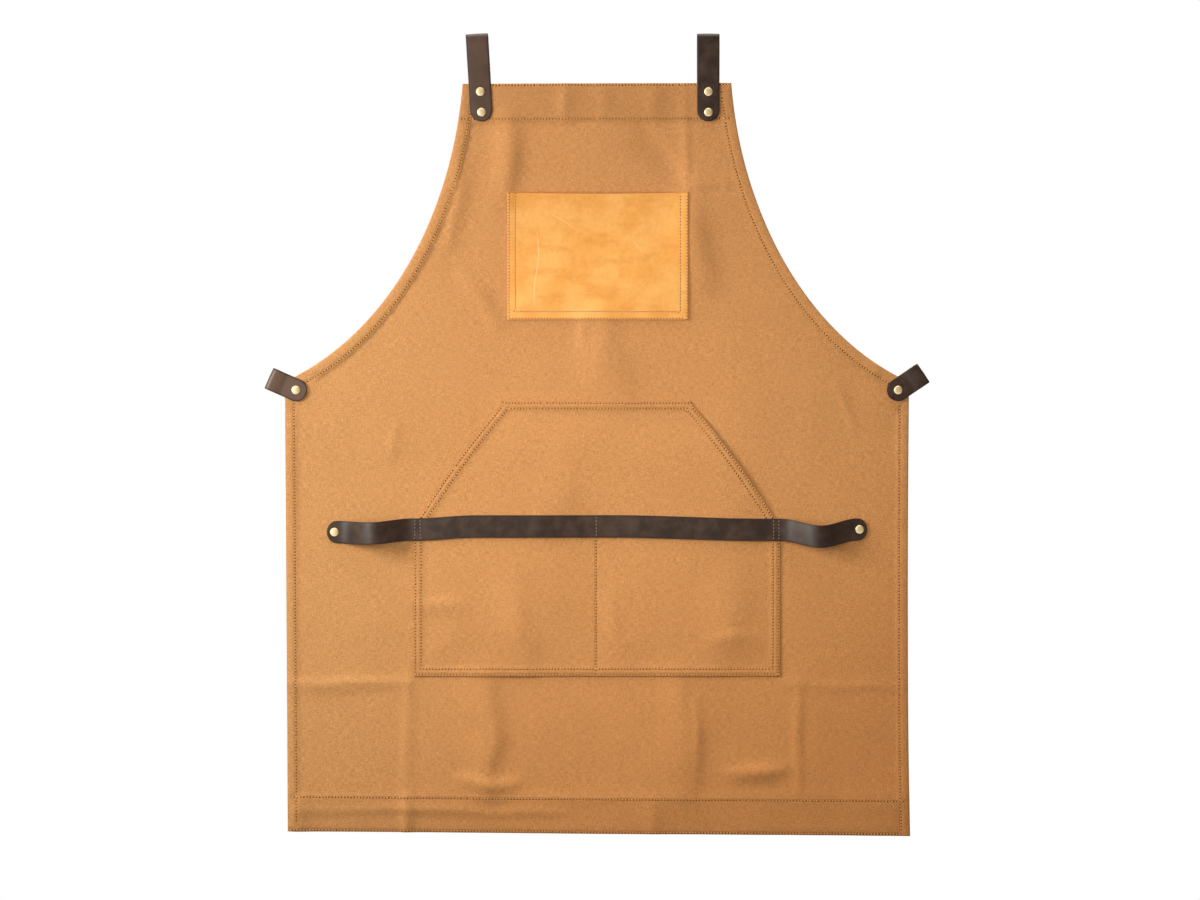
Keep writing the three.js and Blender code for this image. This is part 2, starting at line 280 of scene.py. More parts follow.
tanLook = {
    "light": (0.90, 0.445, 0.120), "mid": (0.84, 0.375, 0.082), "dark": (0.72, 0.280, 0.050),
    "scratch": (0.98, 0.66, 0.33), "cloud": 38, "pore": 0.9,
    "scratches": [  # ends as (x, drop), how far each line sways, and its strength
        {"from": (-67, 168), "to": (-68, 252), "sway": 2.2, "turns": 6.0, "wide": 0.75, "deep": 0.62},
        {"from": (-51, 147), "to": (-26, 161), "sway": 0.8, "turns": 4.0, "wide": 0.65, "deep": 0.5},
        {"from": (39, 176), "to": (52, 191), "sway": 0.5, "turns": 3.0, "wide": 0.7, "deep": 0.5},
        {"from": (-12, 196), "to": (9, 236), "sway": 1.4, "turns": 5.0, "wide": 0.5, "deep": 0.2},
        {"from": (62, 214), "to": (30, 244), "sway": 1.0, "turns": 4.0, "wide": 0.5, "deep": 0.22},
    ],
}


def scratchLine(f, x, z, line):  # 1 on a thin swaying line, 0 beside it
    startX, startZ = line["from"][0], topZ - line["from"][1]
    runX, runZ = line["to"][0] - startX, topZ - line["to"][1] - startZ
    long = math.hypot(runX, runZ)
    share = ((x - startX) * runX + (z - startZ) * runZ) / long ** 2
    sway = f.math("SINE", share * line["turns"]) * line["sway"]
    side = f.math("ABSOLUTE", ((x - startX) * runZ - (z - startZ) * runX) / long + sway)
    within = f.step(share, 0, 0.1) * (1 - f.step(share, 0.8, 1))
    return (1 - f.step(side, line["wide"] * 0.2, line["wide"])) * within * line["deep"]


def tanLeatherFinish():
    f = Finish("tan_leather")
    spot = f.place()
    x, _, z = f.axes(spot)
    cloud = f.noise(spot, tanLook["cloud"], 5, 0.62)
    smear = f.noise(f.stretch(spot, (0.35, 1, 1)), 16, 3, 0.6)
    base = f.mix(f.step(cloud, 0.38, 0.62), tanLook["mid"], tanLook["light"])
    base = f.mix(f.step(smear, 0.50, 0.74) * 0.5, base, tanLook["dark"])
    fleck = f.noise(spot, 4, 4, 0.75)
    # painted shade: the upper left is darker, evening out the stronger lamp light falling there
    shadedUpperLeft = f.step(z - x * 0.6, topZ - 230, topZ - 70)
    base = f.tone(base, fleck * 0.34 + shadedUpperLeft * -0.15 + 0.85)
    for line in tanLook["scratches"]:
        base = f.mix(scratchLine(f, x, z, line), base, tanLook["scratch"])
    edge = f.attribute("edge")
    base = f.mix(edge * 0.55, base, tanLook["dark"])
    grain = f.pebbles(spot, tanLook["pore"]) * 0.6 + f.noise(spot, 3, 3) * 0.8
    return f.close({
        "Base Color": base,
        "Roughness": f.clamp(smear * 0.25 + 0.42),
        "Specular IOR Level": 0.25,
        "Coat Weight": 0.04,
        "Coat Roughness": 0.35,
        "Normal": f.bump(grain, 0.09, 0.5),
    })


darkLook = {
    "mid": (0.025, 0.0130, 0.0080), "light": (0.056, 0.030, 0.019), "edge": (0.019, 0.0075, 0.0030),
    # the lightest brown is painted sheen for the left loops
    "paintedSheen": (0.145, 0.085, 0.056), "cloud": 14, "pore": 0.8,
}


def darkLeatherFinish():
    f = Finish("dark_leather")
    spot = f.place()
    cloud = f.noise(spot, darkLook["cloud"], 4, 0.6)
    base = f.mix(f.step(cloud, 0.35, 0.7), darkLook["mid"], darkLook["light"])
    # painted sheen: the left loops are lightened where the lamps' gloss falls
    base = f.mix(f.attribute("paintedSheen"), base, darkLook["paintedSheen"])
    edge = f.attribute("edge")
    base = f.mix(edge, base, darkLook["edge"])
    fine = f.noise(spot, 1.2, 4, 0.65)
    grain = f.pebbles(spot, darkLook["pore"]) * 0.6 + fine
    return f.close({
        "Base Color": base,
        "Roughness": f.clamp(cloud * 0.24 + edge * 0.2 + 0.34),
        "Specular IOR Level": 0.5,
        "Specular Tint": (0.95, 1.0, 1.0, 1.0),
        "Normal": f.bump(grain, 0.07, 0.5),
    })


def threadFinish(name, colour):
    f = Finish(name)
    spot = f.place()
    twist = f.noise(spot, 0.35, 2)
    base = f.mix(twist, tuple(c * 0.72 for c in colour), colour)
    return f.close({
        "Base Color": base,
        "Roughness": 0.7,
        "Specular IOR Level": 0.2,
        "Normal": f.bump(twist, 0.06, 0.6),
    })


# painted shade: a near-black disc stands for the shade inside a needle hole
def holeShadeFinish(name, inside, lip):
    f = Finish(name)
    spot = f.place()
    base = f.mix(f.noise(spot, 1.0, 1), inside, lip)
    return f.close({"Base Color": base, "Roughness": 0.9, "Specular IOR Level": 0.1})


brassLook = {"bright": (1.0, 0.83, 0.50), "dull": (0.98, 0.72, 0.36), "haze": 1.6}


def brassFinish():
    f = Finish("rivet_brass")
    spot = f.place()
    haze = f.noise(spot, brassLook["haze"], 4, 0.6)
    base = f.mix(f.step(haze, 0.35, 0.75), brassLook["bright"], brassLook["dull"])
    return f.close({
        "Base Color": base,
        "Metallic": 0.7,
        "Roughness": f.clamp(haze * 0.2 + 0.34),
        "Normal": f.bump(haze, 0.03, 0.35),
    })


canvas = canvasFinish()
tanLeather = tanLeatherFinish()
darkLeather = darkLeatherFinish()
canvasThread = threadFinish("canvas_thread", (1.0, 0.52, 0.16))
creamThread = threadFinish("cream_thread", (1.0, 0.72, 0.36))
strapThread = threadFinish("strap_thread", (0.34, 0.25, 0.18))
canvasHoleShade = holeShadeFinish("needle_hole_shade", (0.080, 0.021, 0.004), (0.14, 0.041, 0.008))
leatherHoleShade = holeShadeFinish("leather_needle_hole", (0.30, 0.085, 0.012), (0.42, 0.13, 0.02))
brass = brassFinish()
print("finishes ready")


# small geometry helpers
def smooth(value, low=0.0, high=1.0):
    t = np.clip((np.asarray(value, float) - low) / (high - low), 0, 1)
    return t * t * (3 - 2 * t)


def densify(points, step):
    points = np.asarray(points, float)
    filled = [points[:1]]
    for a, b in zip(points[:-1], points[1:]):
        count = max(1, int(math.ceil(np.linalg.norm(b - a) / step)))
        filled.append(a + (b - a) * (np.arange(1, count + 1) / count)[:, None])
    return np.vstack(filled)


def distanceTo(points, line):
    points, line = np.asarray(points, float), np.asarray(line, float)
    best = np.full(len(points), 1e9)
    starts, spans = line[:-1], line[1:] - line[:-1]
    squared = np.maximum((spans ** 2).sum(1), 1e-12)
    for i in range(0, len(points), 4000):
        p = points[i:i + 4000, None, :] - starts[None]
        t = np.clip((p * spans).sum(2) / squared, 0, 1)
        best[i:i + 4000] = np.sqrt((((p - t[..., None] * spans) ** 2).sum(2)).min(1))
    return best


def insidePolygon(points, outline):
    x, z = points[:, 0], points[:, 1]
    inside = np.zeros(len(points), bool)
    for (x0, z0), (x1, z1) in zip(outline, np.roll(outline, -1, 0)):
        if z0 == z1:
            continue
        crosses = ((z0 > z) != (z1 > z)) & (x < (x1 - x0) * (z - z0) / (z1 - z0) + x0)
        inside ^= crosses
    return inside


def lattice(x, z, size, seed):  # soft random hills, from -1 to 1
    rng = np.random.default_rng(seed)
    grid = rng.uniform(-1, 1, (64, 64))
    u, v = np.asarray(x, float) / size[0] + 20, np.asarray(z, float) / size[1] + 40
    i, j = np.floor(u).astype(int), np.floor(v).astype(int)
    a, b = smooth(u - i), smooth(v - j)
    i, j = i % 63, j % 63
    low = grid[i, j] * (1 - a) + grid[i + 1, j] * a
    high = grid[i, j + 1] * (1 - a) + grid[i + 1, j + 1] * a
    return low * (1 - b) + high * b


def inward(line, distance):  # a line moved to its left by distance
    line = np.asarray(line, float)
    ahead = np.gradient(line, axis=0)
    ahead /= np.linalg.norm(ahead, axis=1)[:, None]
    return line + np.c_[-ahead[:, 1], ahead[:, 0]] * distance


def meshFrom(name, vertices, faces, material, attributes=None):
    mesh = bpy.data.meshes.new(name)
    mesh.from_pydata((np.asarray(vertices) * metre).tolist(), [], [list(map(int, f)) for f in faces])
    mesh.validate()
    mesh.materials.append(material)
    mesh.shade_smooth()
    for key, values in (attributes or {}).items():
        layer = mesh.attributes.new(key, "FLOAT", "POINT")
        layer.data.foreach_set("value", np.asarray(values, np.float32))
    thing = bpy.data.objects.new(name, mesh)
    scene.collection.objects.link(thing)
    return thing


# how the cloth lies: soft creases, in (x, drop below the top edge)
creases = [
    {"from": (-100, 44), "to": (-103, 124), "rise": 6.0, "wide": 16, "steep": -0.15},  # the bib
    {"from": (56, 62), "to": (97, 118), "rise": -4.3, "wide": 14, "steep": -0.2},
    {"from": (99, 8), "to": (101, 122), "rise": 1.7, "wide": 4, "steep": -0.4},
    {"from": (100, 113), "to": (160, 112), "rise": 1.3, "wide": 4, "steep": 0.3},
    {"from": (108, 124), "to": (111, 212), "rise": 6.0, "wide": 24, "steep": -0.2},
    {"from": (-36, 2), "to": (-37, 37), "rise": 2.5, "wide": 8, "steep": 0.2},
    {"from": (4, 4), "to": (6, 36), "rise": 1.6, "wide": 10, "steep": 0.0},
    {"from": (62, 3), "to": (66, 37), "rise": 1.6, "wide": 9, "steep": 0.0},
    {"from": (-152, 96), "to": (-167, 178), "rise": 3.2, "wide": 8, "steep": 0.3},
    {"from": (-148, 214), "to": (-108, 266), "rise": 4.7, "wide": 9, "steep": 0.0},
    {"from": (-17, 262), "to": (-18, 295), "rise": 2.2, "wide": 6, "steep": 0.3},
    {"from": (8, 264), "to": (20, 346), "rise": 4.7, "wide": 22, "steep": -0.2},
    {"from": (-226, 384), "to": (-230, 414), "rise": 1.8, "wide": 6, "steep": 0.3},  # the waist
    {"from": (264, 336), "to": (288, 390), "rise": 1.7, "wide": 4, "steep": 0.5},
    {"from": (-214, 640), "to": (-214, 842), "rise": 1.9, "wide": 7, "steep": 0.4},  # the skirt
    {"from": (-344, 670), "to": (-212, 671), "rise": 2.6, "wide": 7, "steep": -0.3},
    {"from": (-124, 664), "to": (-117, 790), "rise": 4.6, "wide": 17, "steep": -0.3},
    {"from": (92, 664), "to": (96, 790), "rise": 4.0, "wide": 21, "steep": -0.2},
    {"from": (111, 682), "to": (110, 784), "rise": 1.8, "wide": 5, "steep": 0.2},
    {"from": (225, 664), "to": (226, 790), "rise": 1.8, "wide": 5, "steep": -0.2},
    {"from": (206, 672), "to": (344, 674), "rise": 1.3, "wide": 6, "steep": 0.0},
    {"from": (-150, 780), "to": (-92, 782), "rise": 4.2, "wide": 8, "steep": -0.2},
    {"from": (150, 768), "to": (206, 764), "rise": 4.2, "wide": 8, "steep": -0.2},
    {"from": (-338, 811), "to": (-40, 815), "rise": 2.0, "wide": 5, "steep": 0.3},  # the bottom hem
    {"from": (-217, 800), "to": (-217, 842), "rise": 3.0, "wide": 6, "steep": 0.3},
    {"from": (-332, 802), "to": (-331, 842), "rise": 3.0, "wide": 8, "steep": 0.2},
    {"from": (60, 806), "to": (64, 842), "rise": 2.1, "wide": 9, "steep": 0.0},
    {"from": (-345, 797), "to": (345, 797), "rise": 0.9, "wide": 6, "steep": 0.3},
]
pocketCreases = [
    {"from": (-202, 581), "to": (-152, 578), "rise": 2.2, "wide": 8, "steep": -0.3},
    {"from": (128, 620), "to": (174, 618), "rise": 2.1, "wide": 8, "steep": -0.3},
    {"from": (-90, 545), "to": (-86, 655), "rise": 3.6, "wide": 24, "steep": -0.2},
    {"from": (14, 575), "to": (22, 622), "rise": 2.1, "wide": 12, "steep": 0.0},
    {"from": (150, 560), "to": (128, 650), "rise": 2.2, "wide": 20, "steep": 0.0},
    {"from": (-36, 420), "to": (-44, 478), "rise": 1.7, "wide": 18, "steep": 0.0},
]
waves = [
    {"size": (210, 210), "rise": 1.8, "seed": 3},
    {"size": (80, 130), "rise": 1.3, "seed": 8},
    {"size": (30, 64), "rise": 0.5, "seed": 5},
    {"size": (60, 22), "rise": 0.28, "seed": 6},
]
foldSway = {"size": (38, 46), "seed": 21, "share": 0.45}
rivetCalm = 22  # the cloth lies flat this near a rivet


def foldRise(x, z, folds):  # the height that a list of soft folds adds
    rise, sway = np.zeros(len(x)), lattice(x, z, foldSway["size"], foldSway["seed"])
    for fold in folds:
        start = np.array([fold["from"][0], topZ - fold["from"][1]])
        span = np.array([fold["to"][0], topZ - fold["to"][1]]) - start
        long = np.linalg.norm(span)
        t = ((x - start[0]) * span[0] + (z - start[1]) * span[1]) / long ** 2
        side = ((x - start[0]) * span[1] - (z - start[1]) * span[0]) / long
        side = side + sway * fold["wide"] * foldSway["share"]
        wide = fold["wide"] * (1 - fold["steep"] * np.sign(side))
        past = np.maximum(np.abs(t - 0.5) - 0.5, 0) * long
        fade = np.exp(-(past / fold["wide"]) ** 2) * (0.5 + 0.5 * np.sin(np.pi * np.clip(t, 0, 1)))
        rise += fold["rise"] * fade * np.exp(-(side / wide) ** 2)
    return rise


loopSweep = {"reach": 22, "stitchFade": 30, "hemFade": 34, "clothFade": 60}


def underLoops(x, z, fade):  # 1 where a side loop's leg sweeps over the cloth, 0 past fade
    share = np.zeros(np.shape(x))
    for side in ("left", "right"):
        away = np.hypot(x - rivetSpots[f"side_{side}"][0], z - rivetSpots[f"side_{side}"][1])
        share = np.maximum(share, 1 - smooth(away, loopSweep["reach"], fade))
    return share


def clothRise(x, z):  # how far the cloth swells towards the front
    x, z = np.atleast_1d(np.asarray(x, float)), np.atleast_1d(np.asarray(z, float))
    rise = sum(w["rise"] * lattice(x, z, w["size"], w["seed"]) for w in waves) + foldRise(x, z, creases)
    for spot in rivetSpots.values():
        rise = rise * (1 - np.exp(-((x - spot[0]) ** 2 + (z - spot[1]) ** 2) / rivetCalm ** 2))
    return rise * (1 - underLoops(x, z, loopSweep["clothFade"]))


# seams: a groove in the cloth and a row of stitches along it
seamOffsets = (-2.9, -1.7, -0.8, 0.8, 1.7, 2.9)
# one value here is the painted shade beside each sewn groove
seamSet = {
    "groove": 0.5, "flat": 0.8, "wide": 2.1,
    "pucker": 0.13, "reach": 7.0, "pitch": 8.5, "grooveShade": 0.35,
}


def grooves(x, z, rows):  # depth of the sewn grooves at each point
    points = np.c_[x, z]
    depth, pucker = np.zeros(len(points)), np.zeros(len(points))
    for row in rows:
        near = distanceTo(points, row)
        depth = np.maximum(depth, 1 - smooth(near, seamSet["flat"], seamSet["wide"]))
        pucker = np.maximum(pucker, np.exp(-(near / seamSet["reach"]) ** 2))
    turn = (x + z * 0.7) / seamSet["pitch"] * 2 * np.pi
    ripple = np.sin(turn + 2.2 * lattice(x, z, (26, 26), 11)) * lattice(x, z, (18, 18), 12)
    return seamSet["groove"] * depth + seamSet["pucker"] * pucker * ripple * 2


def insetOutline(ring, distance):  # a closed outline moved inwards, its corners kept sharp
    before = ring - np.roll(ring, 1, 0)
    after = np.roll(ring, -1, 0) - ring
    sides = []
    for step in (before, after):
        step = step / np.linalg.norm(step, axis=1)[:, None]
        sides.append(np.c_[-step[:, 1], step[:, 0]])
    both = sides[0] + sides[1]
    return ring + both / (both * sides[0]).sum(1)[:, None] * distance


def flatMesh(outline, spacing, rims, rows):  # nested rims round an evenly filled middle
    ring = densify(np.vstack([outline, outline[:1]]), 3.2)[:-1]
    count = len(ring)
    rings = [ring] + [insetOutline(ring, r) for r in rims]
    inner = rings[-1]
    innerClosed = np.vstack([inner, inner[:1]])
    extra = [np.zeros((0, 2))]
    for row in rows:
        line = densify(row, 3.0)
        extra += [inward(line, s) for s in seamOffsets]
    extra = np.vstack(extra)
    low, high = inner.min(0), inner.max(0)
    across = np.arange(low[0], high[0] + spacing, spacing)
    down = np.arange(low[1], high[1] + spacing, spacing * 0.87)
    grid = np.array([(a + (spacing / 2 if k % 2 else 0), d) for k, d in enumerate(down) for a in across])
    grid += np.random.default_rng(4).uniform(-0.12, 0.12, grid.shape) * spacing
    grid = grid[insidePolygon(grid, inner)]
    grid = grid[distanceTo(grid, innerClosed) > spacing * 0.6]
    for row in rows:
        grid = grid[distanceTo(grid, row) > seamOffsets[-1] + spacing * 0.4]
    extra = extra[insidePolygon(extra, inner)]
    extra = extra[distanceTo(extra, innerClosed) > 0.6]
    points = np.vstack([inner, extra, grid])
    made = delaunay_2d_cdt([Vector(p) for p in points], [], [list(range(count))], 1, 0.02)
    flat = np.vstack(rings[:-1] + [np.array([(v.x, v.y) for v in made[0]])])
    start = count * (len(rings) - 1)
    faces = []
    for f in made[2]:
        a, b, c = (start + i for i in f[:3])
        first, second = flat[b] - flat[a], flat[c] - flat[a]
        side = first[0] * second[1] - first[1] * second[0]
        faces.append((a, b, c) if side > 0 else (a, c, b))
    for k in range(len(rings) - 1):
        for i in range(count):
            j = (i + 1) % count
            faces.append((k * count + i, k * count + j, (k + 1) * count + j, (k + 1) * count + i))
    return flat, faces, count


def sheetPiece(name, outline, spacing, front, back, rows, material, roundEdge, extras):
    # front and back give the height of each face towards the viewer; the rim is rounded between them
    flat, faces, count = flatMesh(outline, spacing, [roundEdge * r for r in (0.1, 0.4, 1.0)], rows)
    x, z = flat[:, 0], flat[:, 1]
    edge = distanceTo(flat, np.vstack([flat[:count], flat[:1]]))
    top, bottom = front(x, z), back(x, z)
    middle, half = (top + bottom) / 2, (top - bottom) / 2
    near = np.clip(edge / roundEdge, 0, 1)
    swell = np.sqrt(np.clip(1 - (1 - near) ** 2, 0, 1))
    swell[:count] = 0
    frontVertices = np.c_[x, -(middle + half * swell), z]
    backVertices = np.c_[x, -(middle - half * swell), z][count:]
    backIndex = np.concatenate([np.arange(count), np.arange(len(flat), 2 * len(flat) - count)])
    allFaces = faces + [tuple(backIndex[i] for i in reversed(f)) for f in faces]
    attributes = {k: np.concatenate([v, v[count:]]) for k, v in extras(x, z, edge).items()}
    return meshFrom(name, np.vstack([frontVertices, backVertices]), allFaces, material, attributes)


stitchSet = {
    "pitch": 3.5, "long": 2.2, "thick": 0.46, "arch": 0.40, "sink": 0.14, "pressed": 0.42,
    "holeLong": 1.0, "holeWide": 0.76, "holeRim": 0.03, "holeCrown": 0.08, "holeRoot": 0.06,
}


def along(line, pitch):
    line = np.asarray(line, float)
    steps = np.linalg.norm(np.diff(line, axis=0), axis=1)
    total = np.concatenate([[0], np.cumsum(steps)])
    count = max(1, int(total[-1] / pitch))
    at = (np.arange(count) + 0.5) * total[-1] / count
    spots = np.c_[np.interp(at, total, line[:, 0]), np.interp(at, total, line[:, 1])]
    ends = [[np.interp(at + s, total, line[:, k]) for k in (0, 1)] for s in (-0.6, 0.6)]
    ahead = np.c_[ends[1][0], ends[1][1]] - np.c_[ends[0][0], ends[0][1]]
    ahead /= np.maximum(np.linalg.norm(ahead, axis=1), 1e-9)[:, None]
    return spots, ahead


def stitching(name, rows, surface, material, side=1):
    # surface gives the height towards the viewer; side is 1 for the front, -1 for the back
    sides, rings = 6, np.linspace(-1, 1, 7)
    local = []
    for r in rings:
        girth = stitchSet["thick"] * math.sqrt(max(0.06, 1 - r ** 4))
        lift = stitchSet["arch"] * (1 - r * r) - stitchSet["sink"]
        for k in range(sides):
            turn = 2 * math.pi * k / sides
            local.append((r * stitchSet["long"] / 2, girth * math.cos(turn), lift + girth * math.sin(turn)))
    local = np.array(local)
    faces = []
    for i in range(len(rings) - 1):
        for k in range(sides):
            a, b = i * sides + k, i * sides + (k + 1) % sides
            faces.append((a, a + sides, b + sides, b))
    faces.append(tuple(range(sides)))
    faces.append(tuple(reversed(range(len(local) - sides, len(local)))))
    vertices, allFaces, holes = [], [], []
    for row in rows:
        spots, ahead = along(row, stitchSet["pitch"])
        across = np.c_[-ahead[:, 1], ahead[:, 0]]
        under = underLoops(spots[:, 0], spots[:, 1], loopSweep["stitchFade"])
        high = surface(spots[:, 0], spots[:, 1]) - side * stitchSet["pressed"] * under
        for i in range(len(spots)):
            flat = spots[i] + local[:, :1] * ahead[i] + local[:, 1:2] * across[i]
            offset = len(vertices) * len(local)
            vertices.append(np.c_[flat[:, 0], -(high[i] + side * local[:, 2]), flat[:, 1]])
            allFaces += [tuple(v + offset for v in (f if side > 0 else f[::-1])) for f in faces]
        holes.append(np.c_[spots + ahead * stitchSet["pitch"] / 2, ahead])
    made = meshFrom(name, np.vstack(vertices), allFaces, material)
    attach(made, apronBody)
    return np.vstack(holes)


def needleHoleShades(name, spots, surface, finish=canvasHoleShade):  # painted shade: a dark disc for the needle hole between each two stitches
    ring = 8
    high = surface(spots[:, 0], spots[:, 1])
    turn = 2 * np.pi * np.arange(ring) / ring
    vertices, faces = [], []
    for i, (x, z, ax, az) in enumerate(spots):
        start = i * (ring + 2)
        u, v = stitchSet["holeLong"] * np.cos(turn), stitchSet["holeWide"] * np.sin(turn)
        rim = np.c_[x + u * ax - v * az, np.full(ring, -high[i] - stitchSet["holeRim"]), z + u * az + v * ax]
        crown, root = -high[i] - stitchSet["holeCrown"], -high[i] + stitchSet["holeRoot"]
        vertices += [rim, [(x, crown, z), (x, root, z)]]
        for k in range(ring):
            a, b = start + k, start + (k + 1) % ring
            faces += [(a, b, start + ring), (b, a, start + ring + 1)]
    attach(meshFrom(name, np.vstack(vertices), faces, finish), apronBody)


# the main panel
cut = {
    "topHalf": 150, "waistDrop": 333, "height": panelHigh[2] - panelLow[2],
    "armhole": ((161.4, 147.7), (236.2, 282.2)),
    "hems": {"top": 39.6, "bottom": 38.6, "side": 10, "armhole": 11.7},
    "topTilt": 1.1, "bottomTilt": 2.6, "leftPull": 3.2, "rightBow": 1.6, "rightFlare": 2.2,
}


def armhole(t):
    t = np.asarray(t, float)[:, None]
    p = [np.array(q, float) for q in ((cut["topHalf"], 0), *cut["armhole"], (waistX, cut["waistDrop"]))]
    return (1 - t) ** 3 * p[0] + 3 * (1 - t) ** 2 * t * p[1] + 3 * (1 - t) * t * t * p[2] + t ** 3 * p[3]


def sideLine(side, drops):
    s = (drops - cut["waistDrop"]) / (cut["height"] - cut["waistDrop"])
    if side < 0:
        return waistX - cut["leftPull"] * s
    return waistX - cut["rightBow"] * np.sin(np.pi * s * 0.8) + cut["rightFlare"] * s ** 3


def panelLines():
    rightArm = armhole(np.linspace(0, 1, 48))
    drops = np.linspace(cut["waistDrop"], cut["height"], 26)
    right = np.c_[sideLine(1, drops), drops]
    left = np.c_[-sideLine(-1, drops), drops]
    leftArm = rightArm * (-1, 1)
    lines = {"rightArm": rightArm, "rightSide": right, "leftArm": leftArm, "leftSide": left}
    return {k: inFrame(v) for k, v in lines.items()}


def inFrame(line):  # from (x, drop) to (x, z), with the cut's slight tilt
    x, drop = line[:, 0], line[:, 1]
    share = drop / cut["height"]
    tilt = cut["topTilt"] * (1 - share) * x / cut["topHalf"] * 0.5 - cut["bottomTilt"] * share * x / waistX
    return np.c_[x, topZ - drop + tilt]


edges = panelLines()
bottomEdge = densify(np.array([edges["leftSide"][-1], edges["rightSide"][-1]]), 60)
topEdge = densify(np.array([edges["rightArm"][0], edges["leftArm"][0]]), 60)
panelOutline = np.vstack([
    bottomEdge, edges["rightSide"][::-1][1:], edges["rightArm"][::-1][1:], topEdge[1:],
    edges["leftArm"][1:], edges["leftSide"][1:-1],
])


def shortened(line, start, end):  # a line with its ends cut back
    line = densify(line, 2)
    return line[int(start / 2):len(line) - int(end / 2)][::6]


def hemRows():
    hems = cut["hems"]
    top = inward(topEdge, hems["top"])
    reach = cut["topHalf"] + 1.0
    return {
        "top": np.array([(reach, top[0, 1]), (-reach, top[-1, 1])]),
        "topEdge": shortened(inward(topEdge, 1.9), 3, 3),
        "bottom": shortened(inward(bottomEdge, hems["bottom"]), 4, 4),
        "bottomEdge": shortened(inward(bottomEdge, 1.9), 3, 3),
        "rightSide": shortened(inward(edges["rightSide"][::-1], hems["side"]), 4, 20),
        "leftSide": shortened(inward(edges["leftSide"], hems["side"]), 20, 4),
        "rightArm": shortened(inward(edges["rightArm"][::-1], hems["armhole"]), 20, 3),
        "leftArm": shortened(inward(edges["leftArm"], hems["armhole"]), 3, 20),
    }


panelRowList = list(hemRows().values())
# line paints a thin shadow line just inside each hem band's step; shade paints the top and bottom hem bands
# darker, as painted shade of the doubled cloth
hemSet = {
    "bands": {"top": 41.5, "bottom": 40.5, "side": 11.8, "armhole": 13.4},
    "front": {"top": 0.9, "bottom": 0.9, "side": 0.7, "armhole": 1.25}, "back": 0.6, "puff": 0.35,
    "shade": {"top": 0.24, "bottom": 0.2},
    "line": {"top": 0.2, "bottom": 0.35, "side": 0.0, "armhole": 0.35},
}


def hemBands():
    bands = hemSet["bands"]
    return (
        ("top", topEdge, bands["top"]), ("bottom", bottomEdge, bands["bottom"]),
        ("side", edges["leftSide"], bands["side"]), ("side", edges["rightSide"], bands["side"]),
        ("armhole", edges["leftArm"], bands["armhole"]), ("armhole", edges["rightArm"], bands["armhole"]),
    )


def hemRise(x, z):  # how far the folded hems stand out in front and behind
    points = np.c_[x, z]
    front, back, puff = np.zeros(len(points)), np.zeros(len(points)), np.zeros(len(points))
    for kind, line, inset in hemBands():
        near = distanceTo(points, line)
        share = 1 - smooth(near, inset - 0.2, inset + 1.0)
        front = np.maximum(front, hemSet["front"][kind] * share)
        back = np.maximum(back, hemSet["back"] * share)
        if kind in ("side", "armhole"):
            puff = np.maximum(puff, np.sin(np.pi * np.clip(near / inset, 0, 1)) ** 0.7)
    flat = 1 - underLoops(x, z, loopSweep["hemFade"])  # the side loops' rivets press the hem flat
    return (front + hemSet["puff"] * puff) * flat, back * flat


def panelFront(x, z):
    return clothThick + clothRise(x, z) + hemRise(x, z)[0] - grooves(x, z, panelRowList)


def panelBack(x, z):
    return clothRise(x, z) - hemRise(x, z)[1] + grooves(x, z, panelRowList) * 0.5


# painted shade beside the sewn grooves and at the hems, carried to the canvas as an attribute
def panelShade(x, z, edge):
    points = np.c_[x, z]
    near = np.min([distanceTo(points, row) for row in panelRowList], axis=0)
    worn = seamSet["grooveShade"] * np.exp(-(near / seamSet["wide"]) ** 2)
    # painted shadow line inside each hem band's step, and painted shade over the top and bottom hem bands
    for kind, line, inset in hemBands():
        past = distanceTo(points, line) - inset
        worn = worn + hemSet["line"][kind] * np.exp(-((past - 0.8) / 0.9) ** 2)
        if kind in hemSet["shade"]:
            worn = worn + hemSet["shade"][kind] * (1 - smooth(past, -8, 0))
    return {"worn": worn}


panel = sheetPiece(
    "canvas_panel", panelOutline, 4.5, panelFront, panelBack, panelRowList, canvas, 1.3, panelShade,
)
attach(panel, apronBody)
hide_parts("main_panel")
print("panel ready", len(panel.data.vertices))

panelHoles = stitching("panel_stitching", panelRowList, panelFront, canvasThread)
needleHoleShades("panel_needle_holes", panelHoles, panelFront)
stitching("panel_back_stitching", panelRowList, panelBack, canvasThread, side=-1)
print("panel stitching ready")


# pockets
def standOff(seams, stand, ramp):
    def lift(x, z):
        points = np.c_[np.atleast_1d(x), np.atleast_1d(z)]
        near = np.min([distanceTo(points, seam) for seam in seams], axis=0)
        return stand * smooth(near, 0, ramp)
    return lift


chestLow, chestHigh = boxOf("chest_pocket")
chest = {
    "stand": 3.2, "ramp": 62, "thick": 2.0, "rows": (1.7, 9.0), "rowEnd": 1.2, "mouthDip": 1.6,
    "gap": 0.25, "groove": 0.4,
}


def chestOutline():
    (x0, _, z0), (x1, _, z1) = chestLow, chestHigh
    across = np.linspace(x1, x0, 40)
    share = (across - x0) / (x1 - x0)
    mouth = np.c_[across, z1 - chest["mouthDip"] * np.sin(np.pi * share)]
    return np.vstack([[(x0, z0), (x1, z0)], mouth])


def chestRow(inset):
    (x0, _, z0), (x1, _, z1) = chestLow, chestHigh
    left, right, low, high = x0 + inset, x1 - inset, z0 + inset, z1 - chest["rowEnd"]
    return np.array([(right, high), (right, low), (left, low), (left, high)])


chestSeam = np.array([
    chestHigh[[0, 2]], (chestHigh[0], chestLow[2]), chestLow[[0, 2]], (chestLow[0], chestHigh[2]),
])
chestLift = standOff([chestSeam], chest["stand"], chest["ramp"])
chestRows = [chestRow(inset) for inset in chest["rows"]]


